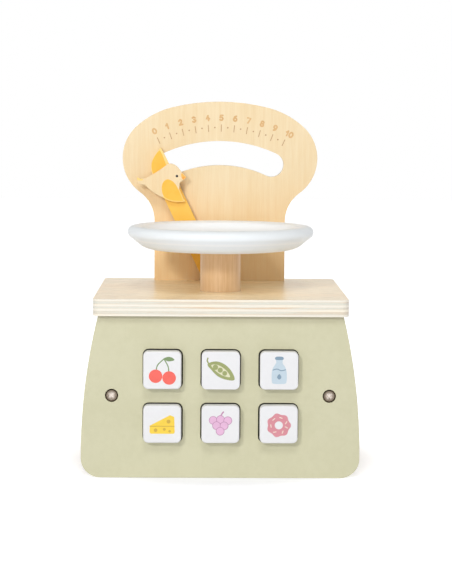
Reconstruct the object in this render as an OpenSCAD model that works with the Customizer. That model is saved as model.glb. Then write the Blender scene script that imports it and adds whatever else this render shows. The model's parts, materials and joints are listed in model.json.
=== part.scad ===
/* [Base] */
// Width of the front and back panels at their widest
panel_w = 200; // [190:1:220]
// Width of the panels along their top edge
panel_top_w = 175; // [170:1:180]
// Height of the panels
panel_h = 117; // [114:1:130]
// Depth over the outer faces of the two panels
base_depth = 156; // [152:1:180]
// Thickness of the panels and the side boards
panel_t = 12; // [10:0.5:14]
// Radius of the panels' bottom corners
panel_corner_r = 14; // [8:1:20]
// Step from the panels' top corners in to the side boards
side_inset = 3.7; // [2:0.1:6]
// Thickness of the bottom board
bottom_t = 9; // [8:0.5:12]

/* [Top plate] */
// Thickness of the top plate
plate_t = 12; // [11:0.5:16]
// Overhang of the plate past the panels' top corners
plate_side_lip = 3.6; // [2:0.1:8]
// Overhang of the plate past the front and back panels
plate_end_lip = 4.7; // [3:0.1:6]
// Radius of the plate's corners
plate_corner_r = 5; // [2:0.5:10]
// Clearance round the post in the plate
post_hole_gap = 0.4; // [0.3:0.1:1]

/* [Tray and post] */
// Diameter of the tray over its rim
tray_d = 138; // [120:1:140]
// Height of the tray
tray_h = 17.3; // [15:0.1:22]
// Diameter of the tray's flat underside
tray_base_d = 106; // [90:1:110]
// Radius of the rounded rim
rim_r = 4.5; // [3:0.1:5]
// Diameter of the well where it meets the rim
well_d = 112.4; // [100:0.2:116]
// Depth of the well below the rim's top
well_depth = 8.5; // [5:0.1:9]
// Height of the tray's underside above the top plate
tray_rise = 31; // [27:1:45]
// Diameter of the post
post_d = 30; // [26:1:32]
// Distance from the tray's edge back to the dial board
tray_dial_gap = 9.5; // [9:0.1:14]
// How far the tray and post go down when they are pressed
travel = 20; // [15:1:22]
// How far the post reaches below the top plate
post_drop = 57; // [52:1:62]
// Depth of the recess in the tray that holds the post
post_seat = 3; // [2:0.5:4]
// Diameter of the dowel between the post and the tray
tray_dowel_d = 8; // [6:1:10]

/* [Dial board] */
// Thickness of the dial board
dial_t = 10; // [8:0.5:12]
// Height of the dial board above the top plate
dial_h = 140.4; // [135:0.2:145]
// Distance from the plate's back edge to the dial board
dial_setback = 8.7; // [6.7:0.1:9.7]
// Radius of the arc across the top
dial_top_r = 155; // [120:5:200]
// Radius of the shoulders
dial_shoulder_r = 65.4; // [61:0.2:70]
// Radius of the rounded sides
dial_side_r = 33.3; // [31:0.1:36]
// Radius of the hollow above the neck
dial_neck_r = 27.7; // [22:0.1:32]
// Radius of the window's centre line
window_r = 96; // [92:0.1:100]
// Height of the window's centre of curvature above the plate
window_rise = 4.2; // [2:0.1:8]
// Width of the window across its arc
window_w = 18.9; // [16:0.1:22]

/* [Pointer and bird] */
// Height of the pivot above the plate's underside
pivot_rise = 4; // [3.8:0.1:5]
// Width of the pointer arm
arm_w = 15; // [13:0.5:16]
// Thickness of the pointer arm
arm_t = 5; // [4:0.5:5]
// Distance from the pivot to the pointer's tip
arm_len = 121.5; // [116:0.5:123]
// Gap between the pointer arm and the dial board
arm_gap = 2; // [1.5:0.1:2.5]
// Thickness of the bird
bird_t = 4; // [3:0.5:5]
// Diameter of the pin that the pointer turns on
pivot_d = 3; // [2.5:0.1:4]
// Diameter of the pin that drives the pointer
drive_pin_d = 4; // [3:0.1:5]
// Height from the pivot down to the drive pin
drive_drop = 22; // [21.5:0.1:24]
// Clearance each side of the drive pin in its slot
slot_gap = 0.4; // [0.3:0.1:0.6]
// Wood round the slot
slot_wall = 4; // [3:0.1:4.5]

/* [Buttons] */
// Width and height of a button
button_w = 27.1; // [24:0.1:29]
// Radius of a button's corners
button_corner_r = 3.6; // [2:0.1:5]
// How far a button stands out of the panel
button_proud = 8; // [4.5:0.1:9]
// How far a button goes in
button_travel = 4; // [2:0.1:4.4]
// Gap round a button in its window
button_gap = 0.7; // [0.6:0.1:1.2]
// How far out of the middle of their windows the outer buttons stand
button_drift = 0.2; // [0:0.1:0.5]
// Distance between the columns of buttons
column_pitch = 41.5; // [38:0.1:44]
// Distance between the rows of buttons
row_pitch = 38.7; // [36:0.1:42]
// Height of the middle of the rows above the floor
control_z = 59.5; // [56:0.1:62]

/* [Fasteners and springs] */
// Diameter of the panel screws' heads
screw_head_d = 7.6; // [7:0.1:8.5]
// Diameter of the panel screws' shanks
screw_d = 4; // [3.5:0.1:4.5]
// Length of the panel screws below the head
screw_len = 32; // [24:1:36]
// Diameter of the recess round a panel screw's head
screw_recess_d = 9.4; // [9:0.1:10.5]
// Diameter of the dowels in the boards
dowel_d = 6; // [5:0.5:7]
// Length of the dowels in the boards
dowel_len = 20; // [16:1:24]
// Diameter of the countersunk wood screws
wood_screw_d = 3.5; // [3:0.1:4]
// Length of the countersunk wood screws
wood_screw_len = 28; // [22:1:32]
// Wire of the return spring
return_wire = 1.6; // [1.2:0.1:2]
// Outer diameter of the return spring
return_d = 17; // [15:0.5:25]
// Wire of a button's spring
button_wire = 0.8; // [0.6:0.1:1]
// Outer diameter of a button's spring
button_spring_d = 9; // [7:0.1:9.4]

/* [Hidden] */
$fn = 64;

// Overrun of a cut past the face that it opens
cut = 1;
// Smallest clearance between moving pieces
fit_gap = 0.3;
// Radial clearance of a running fit
run_gap = 0.08;
// Segments in one rounded stretch of an outline
arc_steps = 14;
// Depth of a blind hole past the end of what it holds
hole_spare = 1;

// Colours
sage = [0.84, 0.83, 0.69];
ply = [0.94, 0.84, 0.70];
beech = [0.88, 0.71, 0.53];
white_paint = [0.96, 0.96, 0.96];
yellow_paint = [0.99, 0.77, 0.32];
steel = [0.72, 0.72, 0.74];

// Places along the depth, front to back
front_y = -base_depth / 2;
back_y = base_depth / 2;
front_inner_y = front_y + panel_t;
back_inner_y = back_y - panel_t;
plate_front_y = front_y - plate_end_lip;
plate_back_y = back_y + plate_end_lip;
dial_back_y = plate_back_y - dial_setback;
dial_front_y = dial_back_y - dial_t;
arm_back_y = dial_front_y - arm_gap;
arm_front_y = arm_back_y - arm_t;
bird_front_y = arm_front_y - bird_t;
post_y = dial_front_y - tray_dial_gap - tray_d / 2;

// Heights
plate_top_z = panel_h + plate_t;
pivot_z = panel_h + pivot_rise;
tray_z = plate_top_z + tray_rise;
post_bottom_z = panel_h - post_drop;
post_top_z = tray_z + post_seat;

// Side boards
side_outer_x = panel_top_w / 2 - side_inset;
side_x = side_outer_x - panel_t / 2;
side_inner_x = side_outer_x - panel_t;
plate_w = panel_top_w + 2 * plate_side_lip;

// Dial board arcs, as the angle that each one turns through
dial_top_turn = 13.9;
dial_shoulder_turn = 28.2;
dial_side_turn = 101.8;
dial_neck_turn = dial_top_turn + dial_shoulder_turn + dial_side_turn - 90;
// Half of the angle that the window's centre line spans
window_half_angle = 24.9;

// Pointer motion: the arm leans to the left at rest and swings to the same angle on the right
arm_lean = 25.8;
arm_swing = 45;
// Distance from the pivot across to the drive pin, at which the swing keeps step with the post
crank_x = travel * 180 / (arm_swing * PI);
drive_z = pivot_z - drive_drop;
slot_r = drive_pin_d / 2 + slot_gap;
lobe_r = slot_r + slot_wall;
link_share = 0.66;
link_w = arm_w * link_share;
arm_side_gap = 1.5;
slot_half_w = 14.5;
pivot_bite = 8;
washer_d = 7;
washer_t = arm_side_gap - fit_gap;

// Outline of the arm's end, along its length and across its half width
tip_across_share = 0.96;
shoulder_share = 0.923;
wing_root_share = 0.869;
wing_pull_up_share = 0.947;

// Carriage
carriage_t = 12;
carriage_wall = 7;
carriage_gap = 2.5;
carriage_corner_r = 5;
carriage_left = post_d / 2 + carriage_wall;
drive_block_w = 20;
carriage_right = crank_x + drive_block_w / 2;
carriage_front_y = post_y - post_d / 2 - carriage_wall;
carriage_back_y = arm_front_y - carriage_gap;
carriage_z = panel_h - carriage_t;
drive_block_depth = 26;
drive_block_drop = carriage_z - drive_z + drive_pin_d + slot_wall - slot_gap;
drive_pin_bite = 14;
drive_screw_x = 6;
drive_screw_share = 0.6;

// Guide rod, steady rod and return spring
rod_d = 10;
rod_seat = 6;
rod_lap = 14;
rod_top_z = post_bottom_z + rod_lap;
rod_bore = rod_lap + travel + 2 * hole_spare;
steady_d = 8;
steady_x = -carriage_left + carriage_wall + steady_d / 2;
steady_y = carriage_back_y - carriage_wall - steady_d;
steady_top_z = carriage_z + carriage_t / 2;
return_turns = 8;
button_turns = 6;

// Buttons
columns = [-1, 0, 1];
rows = [0.5, -0.5];
window_gap_w = button_w + 2 * button_gap;
window_corner_r = button_corner_r + button_gap;
flange_t = 2.5;
flange_lap = 2;
flange_w = button_w + 2 * flange_lap;
button_front_y = front_y - button_proud;
button_back_y = front_inner_y + flange_t;
spring_bore_d = button_spring_d + 2 * fit_gap;
spring_bore = 9;
spring_room = 6.5;
spring_board_y = button_back_y + button_travel + spring_room;
spring_board_t = 5;
spring_board_side_gap = 1.8;
spring_board_w = 2 * (side_inner_x - spring_board_side_gap);
spring_board_h = row_pitch + flange_w + 2 * flange_lap;
spring_cup = 1.5;
spacer_d = 9;
spacer_x = spring_board_w / 2 - spacer_d / 2 - flange_lap / 2;
spacer_z = row_pitch / 2;
spacer_screw_d = 3;
spacer_screw_bite = 7;
spacer_head_d = 6;
spacer_head_t = 2;

// Screws and dowels
head_t = 2.4;
head_sunk = 0.6;
cross_share = 0.62;
cross_w = 1.1;
cross_depth = 1.2;
sink_d = 2 * wood_screw_d;
sink_h = (sink_d - wood_screw_d) / 2;
low_dowel_share = 2.5;
high_dowel_share = 3;
panel_dowel_low_z = bottom_t + low_dowel_share * dowel_d;
panel_dowel_high_z = panel_h - high_dowel_share * dowel_d;
dowel_bite_share = 0.4;
dowel_bite = dowel_len * dowel_bite_share;
corner_share = 0.7;
corner_y = back_inner_y * corner_share;
dial_dowel_x = 38;
dial_screw_x = 22;
dial_fix_y = (dial_front_y + dial_back_y) / 2;

// Points along an arc about a centre, from one angle to another
function arc(centre, r, from, to, steps = arc_steps) =
    [for (i = [0 : steps]) let (a = from + (to - from) * i / steps) centre + r * [cos(a), sin(a)]];

// Points along an arc that sets out from a point at a heading, clockwise from +X, and turns right
// through an angle, or left where the radius is negative
function onward(start, heading, r, turn, steps = arc_steps) =
    let (
        side = sign(r),
        centre = start - r * [sin(heading), cos(heading)]
    )
    [for (i = [1 : steps]) let (h = heading + side * turn * i / steps) centre + r * [sin(h), cos(h)]];

// A quadratic curve between two points, pulled towards a third
function curve(a, pull, b, steps = arc_steps) =
    [for (i = [0 : steps]) let (t = i / steps) (1 - t) * (1 - t) * a + 2 * t * (1 - t) * pull + t * t * b];

function last(points) = points[len(points) - 1];
function reversed(points) = [for (i = [len(points) - 1 : -1 : 0]) points[i]];
function mirrored(points) = [for (p = reversed(points)) [-p[0], p[1]]];

// The direction of a path at one of its points
function heading_at(path, i) =
    let (
        a = path[max(i - 1, 0)],
        b = path[min(i + 1, len(path) - 1)]
    )
    (b - a) / norm(b - a);

// The angle of a path's direction at one of its points
function angle_at(path, i) = let (d = heading_at(path, i)) atan2(d[1], d[0]);

// The points beside a path, leaving out its two ends
function beside(path, reach) =
    [for (i = [1 : 1 : len(path) - 2]) let (d = heading_at(path, i)) path[i] + reach * [-d[1], d[0]]];

// A band of even width along a path, with round ends
function band(path, half_w) =
    let (
        end = len(path) - 1,
        start_angle = angle_at(path, 0),
        end_angle = angle_at(path, end)
    )
    concat(
        arc(path[0], half_w, start_angle + 270, start_angle + 90),
        beside(path, half_w),
        arc(path[end], half_w, end_angle + 90, end_angle - 90),
        reversed(beside(path, -half_w))
    );

// Stands an outline drawn in X and Z upright, from one depth to another
module upright(from_y, to_y) {
    translate([0, to_y, 0])
        rotate([90, 0, 0])
            linear_extrude(height = to_y - from_y)
                children();
}

// A straight round bar along +Y
module bar_y(r, from_y, to_y) {
    translate([0, from_y, 0])
        rotate([-90, 0, 0])
            cylinder(r = r, h = to_y - from_y);
}

// A rectangle with rounded corners, centred
module rounded(w, h, r) {
    x = w / 2 - r;
    y = h / 2 - r;
    polygon(concat(
        arc([x, y], r, 0, 90, 6),
        arc([-x, y], r, 90, 180, 6),
        arc([-x, -y], r, 180, 270, 6),
        arc([x, -y], r, 270, 360, 6)
    ));
}

// A closed coil spring along +Z
module coil(wire, outer_d, length, turns, steps_per_turn = 16, sides = 6) {
    r = (outer_d - wire) / 2;
    rise = length - wire;
    rings = turns * steps_per_turn;
    points = [
        for (i = [0 : rings], k = [0 : sides - 1])
            let (
                a = 360 * i / steps_per_turn,
                b = 360 * k / sides,
                reach = r + wire / 2 * cos(b)
            )
            [reach * cos(a), reach * sin(a), wire / 2 + rise * i / rings + wire / 2 * sin(b)]
    ];
    walls = [
        for (i = [0 : rings - 1], k = [0 : sides - 1])
            let (
                near = i * sides + k,
                beside = i * sides + (k + 1) % sides
            )
            [near, beside, beside + sides, near + sides]
    ];
    first_end = [[for (k = [0 : sides - 1]) sides - 1 - k]];
    last_end = [[for (k = [0 : sides - 1]) rings * sides + k]];
    polyhedron(points = points, faces = concat(first_end, walls, last_end), convexity = 8);
}

// A round head with a cross recess, its top at the origin and its shank down -Z
module cross_screw(head_d, head_h, shank_d, shank_len) {
    difference() {
        union() {
            translate([0, 0, -head_h])
                cylinder(d = head_d, h = head_h);
            translate([0, 0, -head_h - shank_len])
                cylinder(d = shank_d, h = shank_len + cut / 2);
        }
        for (turn = [0, 90])
            rotate([0, 0, turn])
                translate([-head_d * cross_share / 2, -cross_w / 2, -cross_depth])
                    cube([head_d * cross_share, cross_w, cross_depth + cut]);
    }
}

// A countersunk wood screw, its flat head at the origin and its point up +Z
module wood_screw(length = wood_screw_len) {
    cylinder(d1 = sink_d, d2 = wood_screw_d, h = sink_h);
    cylinder(d = wood_screw_d, h = length);
}

// The outline that the front and back panels share
module panel_outline() {
    half = panel_w / 2;
    drop = (panel_w - panel_top_w) / 2;
    rise = panel_h - panel_corner_r;
    side_r = (rise * rise + drop * drop) / (2 * drop);
    lean = asin(rise / side_r);
    right = concat(
        arc([half - panel_corner_r, panel_corner_r], panel_corner_r, -90, 0),
        arc([half - side_r, panel_corner_r], side_r, lean / arc_steps, lean)
    );
    polygon(concat(right, mirrored(right)));
}

// The centre of a button, as column and row, or a point a little inwards of it
module at_button(column, row, inwards = 0) {
    translate([columns[column] * (column_pitch - inwards), 0, control_z + rows[row] * row_pitch])
        children();
}

// All six buttons' places, or points a little inwards of them
module at_each_place(inwards = 0) {
    for (column = [0 : 2], row = [0 : 1])
        at_button(column, row, inwards)
            children();
}

// The two screw places in a panel
module at_panel_screws() {
    for (side = [-1, 1])
        translate([side * side_x, 0, control_z])
            children();
}

module at_panel_dowels() {
    for (side = [-1, 1], z = [panel_dowel_low_z, panel_dowel_high_z])
        translate([side * side_x, 0, z])
            children();
}

module at_spacers() {
    for (side = [-1, 1], up = [-1, 1])
        translate([side * spacer_x, 0, control_z + up * spacer_z])
            children();
}

// What is cut from both panels for their screws and dowels, drawn for the front panel
module panel_fixings() {
    at_panel_screws() {
        bar_y(screw_recess_d / 2, front_y - cut, front_y + head_t + head_sunk);
        bar_y(screw_d / 2, front_y, front_inner_y + cut);
    }
    at_panel_dowels()
        bar_y(dowel_d / 2, front_inner_y - dowel_bite, front_inner_y + cut);
}

module front_panel() {
    color(sage)
        difference() {
            upright(front_y, front_inner_y)
                panel_outline();
            at_each_place(button_drift)
                upright(front_y - cut, front_inner_y + cut)
                    rounded(window_gap_w, window_gap_w, window_corner_r);
            panel_fixings();
            at_spacers()
                bar_y(spacer_screw_d / 2, front_inner_y - spacer_screw_bite, front_inner_y + cut);
        }
}

module back_panel() {
    color(sage)
        difference() {
            upright(back_inner_y, back_y)
                panel_outline();
            mirror([0, 1, 0])
                panel_fixings();
        }
}

// One side board, on the right
module side_board() {
    depth = base_depth - 2 * panel_t;
    difference() {
        translate([side_inner_x, front_inner_y, bottom_t])
            cube([panel_t, depth, panel_h - bottom_t]);
        for (end = [0, 1])
            mirror([0, end, 0]) {
                translate([side_x, 0, control_z])
                    bar_y(screw_d / 2, front_inner_y - cut, front_y + head_sunk + head_t + screw_len);
                for (z = [panel_dowel_low_z, panel_dowel_high_z])
                    translate([side_x, 0, z])
                        bar_y(dowel_d / 2, front_inner_y - cut, front_inner_y - dowel_bite + dowel_len);
                translate([side_x, corner_y, panel_h + dowel_bite - dowel_len])
                    cylinder(d = dowel_d, h = dowel_len);
                translate([side_x, corner_y, 0])
                    cylinder(d = wood_screw_d, h = wood_screw_len);
            }
    }
}

module left_side_board() {
    color(ply)
        mirror([1, 0, 0])
            side_board();
}

module right_side_board() {
    color(ply)
        side_board();
}

module at_corners() {
    for (side = [-1, 1], end = [-1, 1])
        translate([side * side_x, end * corner_y, 0])
            children();
}

module bottom_board() {
    color(ply)
        difference() {
            translate([-side_outer_x, front_inner_y, 0])
                cube([2 * side_outer_x, base_depth - 2 * panel_t, bottom_t]);
            at_corners()
                wood_screw();
            translate([0, post_y, bottom_t - rod_seat])
                cylinder(d = rod_d, h = rod_seat + cut);
            translate([steady_x, steady_y, bottom_t - rod_seat])
                cylinder(d = steady_d, h = rod_seat + cut);
        }
}

// Places along the foot of the dial board
module at_dial(x) {
    for (side = [-1, 1])
        translate([side * x, dial_fix_y, 0])
            children();
}

module top_plate() {
    depth = plate_back_y - plate_front_y;
    color(ply)
        difference() {
            translate([0, 0, panel_h])
                linear_extrude(height = plate_t)
                    rounded(plate_w, depth, plate_corner_r);
            translate([0, post_y, panel_h - cut])
                cylinder(d = post_d + 2 * post_hole_gap, h = plate_t + 2 * cut);
            translate([-slot_half_w, arm_front_y - arm_side_gap, panel_h - cut])
                cube([2 * slot_half_w, arm_t + 2 * arm_side_gap, plate_t + 2 * cut]);
            translate([0, 0, pivot_z])
                bar_y(pivot_d / 2, arm_front_y - arm_side_gap - pivot_bite, plate_back_y + cut);
            at_corners()
                translate([0, 0, panel_h - cut])
                    cylinder(d = dowel_d, h = dowel_bite + cut);
            at_dial(dial_dowel_x)
                translate([0, 0, plate_top_z - dowel_bite])
                    cylinder(d = dowel_d, h = dowel_bite + cut);
            at_dial(dial_screw_x)
                translate([0, 0, panel_h])
                    wood_screw();
        }
}

// The right half of the dial board's outline, from the middle of its top to its foot
function dial_half() =
    let (
        top = concat([[0, dial_h]], onward([0, dial_h], 0, dial_top_r, dial_top_turn, 4)),
        shoulder_heading = dial_top_turn,
        shoulder = onward(last(top), shoulder_heading, dial_shoulder_r, dial_shoulder_turn),
        side_heading = shoulder_heading + dial_shoulder_turn,
        side = onward(last(shoulder), side_heading, dial_side_r, dial_side_turn, 2 * arc_steps),
        neck_heading = side_heading + dial_side_turn,
        neck = onward(last(side), neck_heading, -dial_neck_r, dial_neck_turn)
    )
    concat(top, shoulder, side, neck, [[last(neck)[0], 0]]);

module dial_outline() {
    half = dial_half();
    polygon(concat(half, [for (i = [len(half) - 1 : -1 : 1]) [-half[i][0], half[i][1]]]));
}

// The hand window: a wide arc with round ends
module window_outline() {
    centre = [0, window_rise];
    a = window_half_angle;
    r = window_w / 2;
    right_end = centre + window_r * [sin(a), cos(a)];
    left_end = centre + window_r * [-sin(a), cos(a)];
    polygon(concat(
        arc(centre, window_r + r, 90 - a, 90 + a, 2 * arc_steps),
        arc(left_end, r, 90 + a, 270 + a),
        arc(centre, window_r - r, 90 + a, 90 - a, 2 * arc_steps),
        arc(right_end, r, 270 - a, 450 - a)
    ));
}

module dial_board() {
    color(ply)
        difference() {
            translate([0, 0, plate_top_z])
                upright(dial_front_y, dial_back_y)
                    difference() {
                        dial_outline();
                        window_outline();
                    }
            at_dial(dial_dowel_x)
                translate([0, 0, plate_top_z - cut])
                    cylinder(d = dowel_d, h = cut + dowel_len - dowel_bite);
            at_dial(dial_screw_x)
                translate([0, 0, panel_h])
                    cylinder(d = wood_screw_d, h = wood_screw_len);
        }
}

module dial_dowels() {
    color(beech)
        at_dial(dial_dowel_x)
            translate([0, 0, plate_top_z - dowel_bite])
                cylinder(d = dowel_d, h = dowel_len);
}

module dial_screws() {
    color(steel)
        at_dial(dial_screw_x)
            translate([0, 0, panel_h])
                wood_screw();
}

module plate_dowels() {
    color(beech)
        at_corners()
            translate([0, 0, panel_h + dowel_bite - dowel_len])
                cylinder(d = dowel_d, h = dowel_len);
}

module panel_dowels() {
    color(beech)
        for (end = [0, 1])
            mirror([0, end, 0])
                at_panel_dowels()
                    bar_y(dowel_d / 2, front_inner_y - dowel_bite, front_inner_y - dowel_bite + dowel_len);
}

module front_screws() {
    color(steel)
        at_panel_screws()
            translate([0, front_y + head_sunk, 0])
                rotate([90, 0, 0])
                    cross_screw(screw_head_d, head_t, screw_d, screw_len);
}

module back_screws() {
    mirror([0, 1, 0])
        front_screws();
}

module bottom_screws() {
    color(steel)
        at_corners()
            wood_screw();
}

// Points of the tray's section, as multiples of its rim's radius: the foot is measured from the base's
// edge, the lip's top from the rim's top, the lip and wall from the well's edge, and the floor from its floor
foot_share = [-1, 0];
foot_pull_share = [0.6, 0];
flare_share = [1.6, 0.8];
lip_top_share = [-0.6, 0];
lip_pull_share = [0.2, -0.16];
lip_share = [0, -0.48];
wall_share = [-0.4, -0.9];
floor_pull_share = [-1.4, 0];
floor_share = [-4, 0];
rim_under_angle = -38;

// Half of the tray's section, from the middle of its underside round the rim to the well
function tray_section() =
    let (
        rim = [tray_d / 2 - rim_r, tray_h - rim_r],
        base = [tray_base_d / 2, 0],
        top = [rim[0], tray_h],
        well = [well_d / 2, tray_h],
        well_floor = [well_d / 2, tray_h - well_depth]
    )
    concat(
        [[0, 0]],
        curve(base + rim_r * foot_share, base + rim_r * foot_pull_share, base + rim_r * flare_share, 6),
        arc(rim, rim_r, rim_under_angle, 90, 12),
        curve(top + rim_r * lip_top_share, well + rim_r * lip_pull_share, well + rim_r * lip_share, 4),
        curve(well + rim_r * wall_share, well_floor + rim_r * floor_pull_share, well_floor + rim_r * floor_share, 10),
        [[0, well_floor[1]]]
    );

module tray() {
    color(white_paint)
        translate([0, post_y, tray_z])
            difference() {
                rotate_extrude($fn = 128)
                    polygon(tray_section());
                translate([0, 0, -cut])
                    cylinder(d = post_d, h = post_seat + cut);
                cylinder(d = tray_dowel_d, h = tray_dowel_top);
            }
}

// How high the dowel reaches into the tray, and how deep into the post
tray_dowel_top = tray_h - well_depth - post_seat / 2;
tray_dowel_depth = 12;

module tray_dowel() {
    color(beech)
        translate([0, post_y, post_top_z - tray_dowel_depth])
            cylinder(d = tray_dowel_d, h = tray_dowel_depth + tray_dowel_top - post_seat);
}

module post() {
    color(beech)
        translate([0, post_y, 0])
            difference() {
                translate([0, 0, post_bottom_z])
                    cylinder(d = post_d, h = post_top_z - post_bottom_z);
                translate([0, 0, post_bottom_z - cut])
                    cylinder(d = rod_d + 2 * run_gap, h = rod_bore + cut);
                translate([0, 0, post_top_z - tray_dowel_depth])
                    cylinder(d = tray_dowel_d, h = tray_dowel_depth + cut);
            }
}

drive_block_x = crank_x - drive_block_w / 2;
drive_block_front_y = carriage_back_y - drive_block_depth;
drive_block_z = carriage_z - drive_block_drop;

module at_drive_block_screws() {
    for (side = [-1, 1])
        translate([crank_x + side * drive_screw_x, drive_block_front_y + drive_block_depth / 2, carriage_z + carriage_t])
            rotate([180, 0, 0])
                children();
}

drive_screw_len = carriage_t + drive_block_drop * drive_screw_share;

module carriage_plate() {
    w = carriage_left + carriage_right;
    depth = carriage_back_y - carriage_front_y;
    color(ply)
        difference() {
            translate([(carriage_right - carriage_left) / 2, (carriage_front_y + carriage_back_y) / 2, carriage_z])
                linear_extrude(height = carriage_t)
                    rounded(w, depth, carriage_corner_r);
            translate([0, post_y, carriage_z - cut])
                cylinder(d = post_d, h = carriage_t + 2 * cut);
            translate([steady_x, steady_y, carriage_z - cut])
                cylinder(d = steady_d + 2 * run_gap, h = carriage_t + 2 * cut);
            at_drive_block_screws()
                wood_screw(drive_screw_len);
        }
}

module drive_block() {
    color(beech)
        difference() {
            translate([drive_block_x, drive_block_front_y, drive_block_z])
                cube([drive_block_w, drive_block_depth, drive_block_drop]);
            translate([crank_x, 0, drive_z])
                bar_y(drive_pin_d / 2, carriage_back_y - drive_pin_bite, carriage_back_y + cut);
            at_drive_block_screws()
                cylinder(d = wood_screw_d, h = drive_screw_len);
        }
}

module drive_block_screws() {
    color(steel)
        at_drive_block_screws()
            wood_screw(drive_screw_len);
}

module drive_pin() {
    color(steel)
        translate([crank_x, 0, drive_z])
            bar_y(drive_pin_d / 2, carriage_back_y - drive_pin_bite, arm_back_y + arm_gap / 2);
}

module return_spring() {
    color(steel)
        translate([0, post_y, bottom_t])
            coil(return_wire, return_d, post_bottom_z - bottom_t, return_turns);
}

module spring_guide_rod() {
    color(beech)
        translate([0, post_y, bottom_t - rod_seat])
            cylinder(d = rod_d, h = rod_top_z - bottom_t + rod_seat);
}

module steady_rod() {
    color(beech)
        translate([steady_x, steady_y, bottom_t - rod_seat])
            cylinder(d = steady_d, h = steady_top_z - bottom_t + rod_seat);
}

// Where the drive pin runs in the arm, seen from the pivot with the arm at rest
function drive_path() =
    [
        for (i = [0 : arc_steps])
            let (
                down = travel * i / arc_steps,
                turn = arm_swing * i / arc_steps,
                z = -drive_drop - down
            )
            [crank_x * cos(turn) - z * sin(turn), crank_x * sin(turn) + z * cos(turn)]
    ];

// The outline of the arm above the pivot: a bar whose end is cut to a raised wing
module arm_bar() {
    half = arm_w / 2;
    tip = [half * tip_across_share, arm_len];
    shoulder = [half, arm_len * shoulder_share];
    wing_root = [-half, arm_len * wing_root_share];
    wing_pull = [-half, arm_len * wing_pull_up_share];
    polygon(concat(
        arc([0, 0], half, 180, 360),
        [shoulder],
        reversed(curve(wing_root, wing_pull, tip))
    ));
}

module pointer_arm() {
    path = drive_path();
    color(yellow_paint)
        translate([0, 0, pivot_z])
            difference() {
                union() {
                    upright(arm_front_y, arm_back_y)
                        rotate([0, 0, arm_lean])
                            arm_bar();
                    upright(arm_front_y, arm_back_y)
                        polygon(band([[0, 0], path[0]], link_w / 2));
                    upright(arm_front_y, arm_back_y)
                        polygon(band(path, lobe_r));
                }
                upright(arm_front_y - cut, arm_back_y + cut)
                    polygon(band(path, slot_r));
                bar_y(pivot_d / 2 + run_gap, arm_front_y - cut, arm_back_y + cut);
            }
}

// Points of the bird along and across the arm, as shares of the arm's width and length
tail_top_share = [-1.31, 0.897];
tail_dip_share = [-1.13, 0.86];
rump_share = [-0.82, 0.866];
back_pull_share = [-0.2, 0.867];
nape_share = [0.42, 0.885];
crown_pull_share = [0.83, 0.882];
brow_share = [0.9, 0.806];
beak_tip_share = [1.03, 0.757];
beak_low_share = [0.74, 0.747];
throat_pull_share = [0.56, 0.746];
throat_share = [0.53, 0.731];
wing_top_share = [0.43, 0.71];
wing_tip_share = [0.42, 0.619];
wing_pull_share = [-0.28, 0.65];
wing_back_share = [-0.5, 0.699];
belly_pull_share = [-0.93, 0.758];
flank_share = [-1.08, 0.827];
tail_low_share = [-1.41, 0.852];

function on_arm(share) = [share[0] * arm_w, share[1] * arm_len];

function bird_points() =
    concat(
        curve(on_arm(tail_top_share), on_arm(tail_dip_share), on_arm(rump_share), 6),
        curve(on_arm(rump_share), on_arm(back_pull_share), on_arm(nape_share), 6),
        curve(on_arm(nape_share), on_arm(crown_pull_share), on_arm(brow_share), 10),
        [on_arm(beak_tip_share)],
        curve(on_arm(beak_low_share), on_arm(throat_pull_share), on_arm(throat_share), 4),
        [on_arm(wing_top_share)],
        curve(on_arm(wing_tip_share), on_arm(wing_pull_share), on_arm(wing_back_share), 10),
        curve(on_arm(wing_back_share), on_arm(belly_pull_share), on_arm(flank_share), 10),
        [on_arm(tail_low_share)]
    );

module bird() {
    color(ply)
        translate([0, 0, pivot_z])
            upright(bird_front_y, arm_front_y)
                rotate([0, 0, arm_lean])
                    polygon(bird_points());
}

module pivot_pin() {
    color(steel)
        translate([0, 0, pivot_z])
            bar_y(pivot_d / 2, arm_front_y - arm_side_gap - pivot_bite, plate_back_y);
}

module pivot_washers() {
    color(steel)
        translate([0, 0, pivot_z])
            for (from_y = [arm_front_y - arm_side_gap, arm_back_y + fit_gap])
                difference() {
                    bar_y(washer_d / 2, from_y, from_y + washer_t);
                    bar_y(pivot_d / 2, from_y - cut, from_y + washer_t + cut);
                }
}

// One button with its flange, and the hole for its spring
module button(column, row) {
    color(white_paint)
        at_button(column, row)
            difference() {
                union() {
                    upright(button_front_y, front_inner_y + flange_t / 2)
                        rounded(button_w, button_w, button_corner_r);
                    upright(front_inner_y, button_back_y)
                        rounded(flange_w, flange_w, button_corner_r);
                }
                bar_y(spring_bore_d / 2, button_back_y - spring_bore, button_back_y + cut);
            }
}

module button_spring(column, row) {
    from_y = button_back_y - spring_bore;
    color(steel)
        at_button(column, row)
            translate([0, from_y, 0])
                rotate([-90, 0, 0])
                    coil(button_wire, button_spring_d, spring_board_y + spring_cup - from_y, button_turns, 12, 5);
}

module spring_board() {
    color(ply)
        difference() {
            translate([-spring_board_w / 2, spring_board_y, control_z - spring_board_h / 2])
                cube([spring_board_w, spring_board_t, spring_board_h]);
            at_each_place()
                bar_y(spring_bore_d / 2, spring_board_y - cut, spring_board_y + spring_cup);
            at_spacers()
                bar_y(spacer_screw_d / 2, spring_board_y - cut, spring_board_y + spring_board_t + cut);
        }
}

module spring_board_spacers() {
    color(beech)
        at_spacers()
            difference() {
                bar_y(spacer_d / 2, front_inner_y, spring_board_y);
                bar_y(spacer_screw_d / 2, front_inner_y - cut, spring_board_y + cut);
            }
}

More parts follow.
